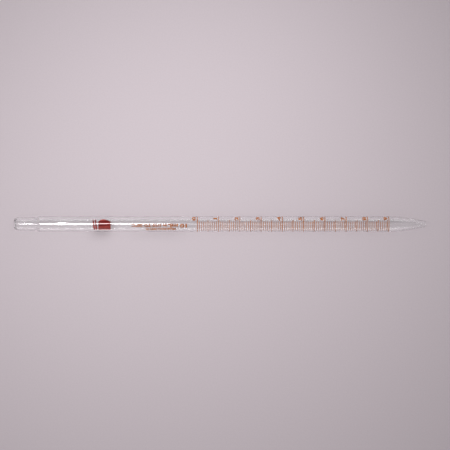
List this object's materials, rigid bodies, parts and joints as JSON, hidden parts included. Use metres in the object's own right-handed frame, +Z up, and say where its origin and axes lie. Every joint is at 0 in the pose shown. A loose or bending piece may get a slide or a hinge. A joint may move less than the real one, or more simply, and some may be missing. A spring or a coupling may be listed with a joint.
{
  "type": "serological pipette",
  "caption": "Straight clear glass measuring pipette with a necked mouthpiece, a tapered delivery tip, red code marks and an amber scale of lines and numerals fired on its tube.",
  "frame": {"origin": "on the surface that the pipette lies on, under the middle of its length and of its width", "axes": "+X along the tube from the mouthpiece to the delivery tip, +Z up out of the surface it lies on, +Y across it, towards the side that its numerals lean to"},
  "size_m": [0.31, 0.0116, 0.0116],
  "materials": {
    "clear_glass": "clear, flame-polished borosilicate",
    "red_enamel": "brushed red enamel, fired to a soft gloss",
    "amber_enamel": "amber-brown scale enamel, fired to a soft gloss"
  },
  "bodies": {
    "root": {"mouthpiece": "clear_glass", "measuring_tube": "clear_glass", "delivery_tip": "clear_glass", "code_mark": "red_enamel", "blow_out_line_upper": "red_enamel", "blow_out_line_lower": "red_enamel", "ring_0_ml": "amber_enamel", "ring_1_ml": "amber_enamel", "ring_2_ml": "amber_enamel", "ring_3_ml": "amber_enamel", "ring_4_ml": "amber_enamel", "ring_5_ml": "amber_enamel", "ring_6_ml": "amber_enamel", "ring_7_ml": "amber_enamel", "ring_8_ml": "amber_enamel", "ring_9_ml": "amber_enamel", "half_line_0_5_ml": "amber_enamel", "half_line_1_5_ml": "amber_enamel", "half_line_2_5_ml": "amber_enamel", "half_line_3_5_ml": "amber_enamel", "half_line_4_5_ml": "amber_enamel", "half_line_5_5_ml": "amber_enamel", "half_line_6_5_ml": "amber_enamel", "half_line_7_5_ml": "amber_enamel", "half_line_8_5_ml": "amber_enamel", "numeral_0": "amber_enamel", "numeral_1": "amber_enamel", "numeral_2": "amber_enamel", "numeral_3": "amber_enamel", "numeral_4": "amber_enamel", "numeral_5": "amber_enamel", "numeral_6": "amber_enamel", "numeral_7": "amber_enamel", "numeral_8": "amber_enamel", "numeral_9": "amber_enamel"}
  },
  "joints": []
}
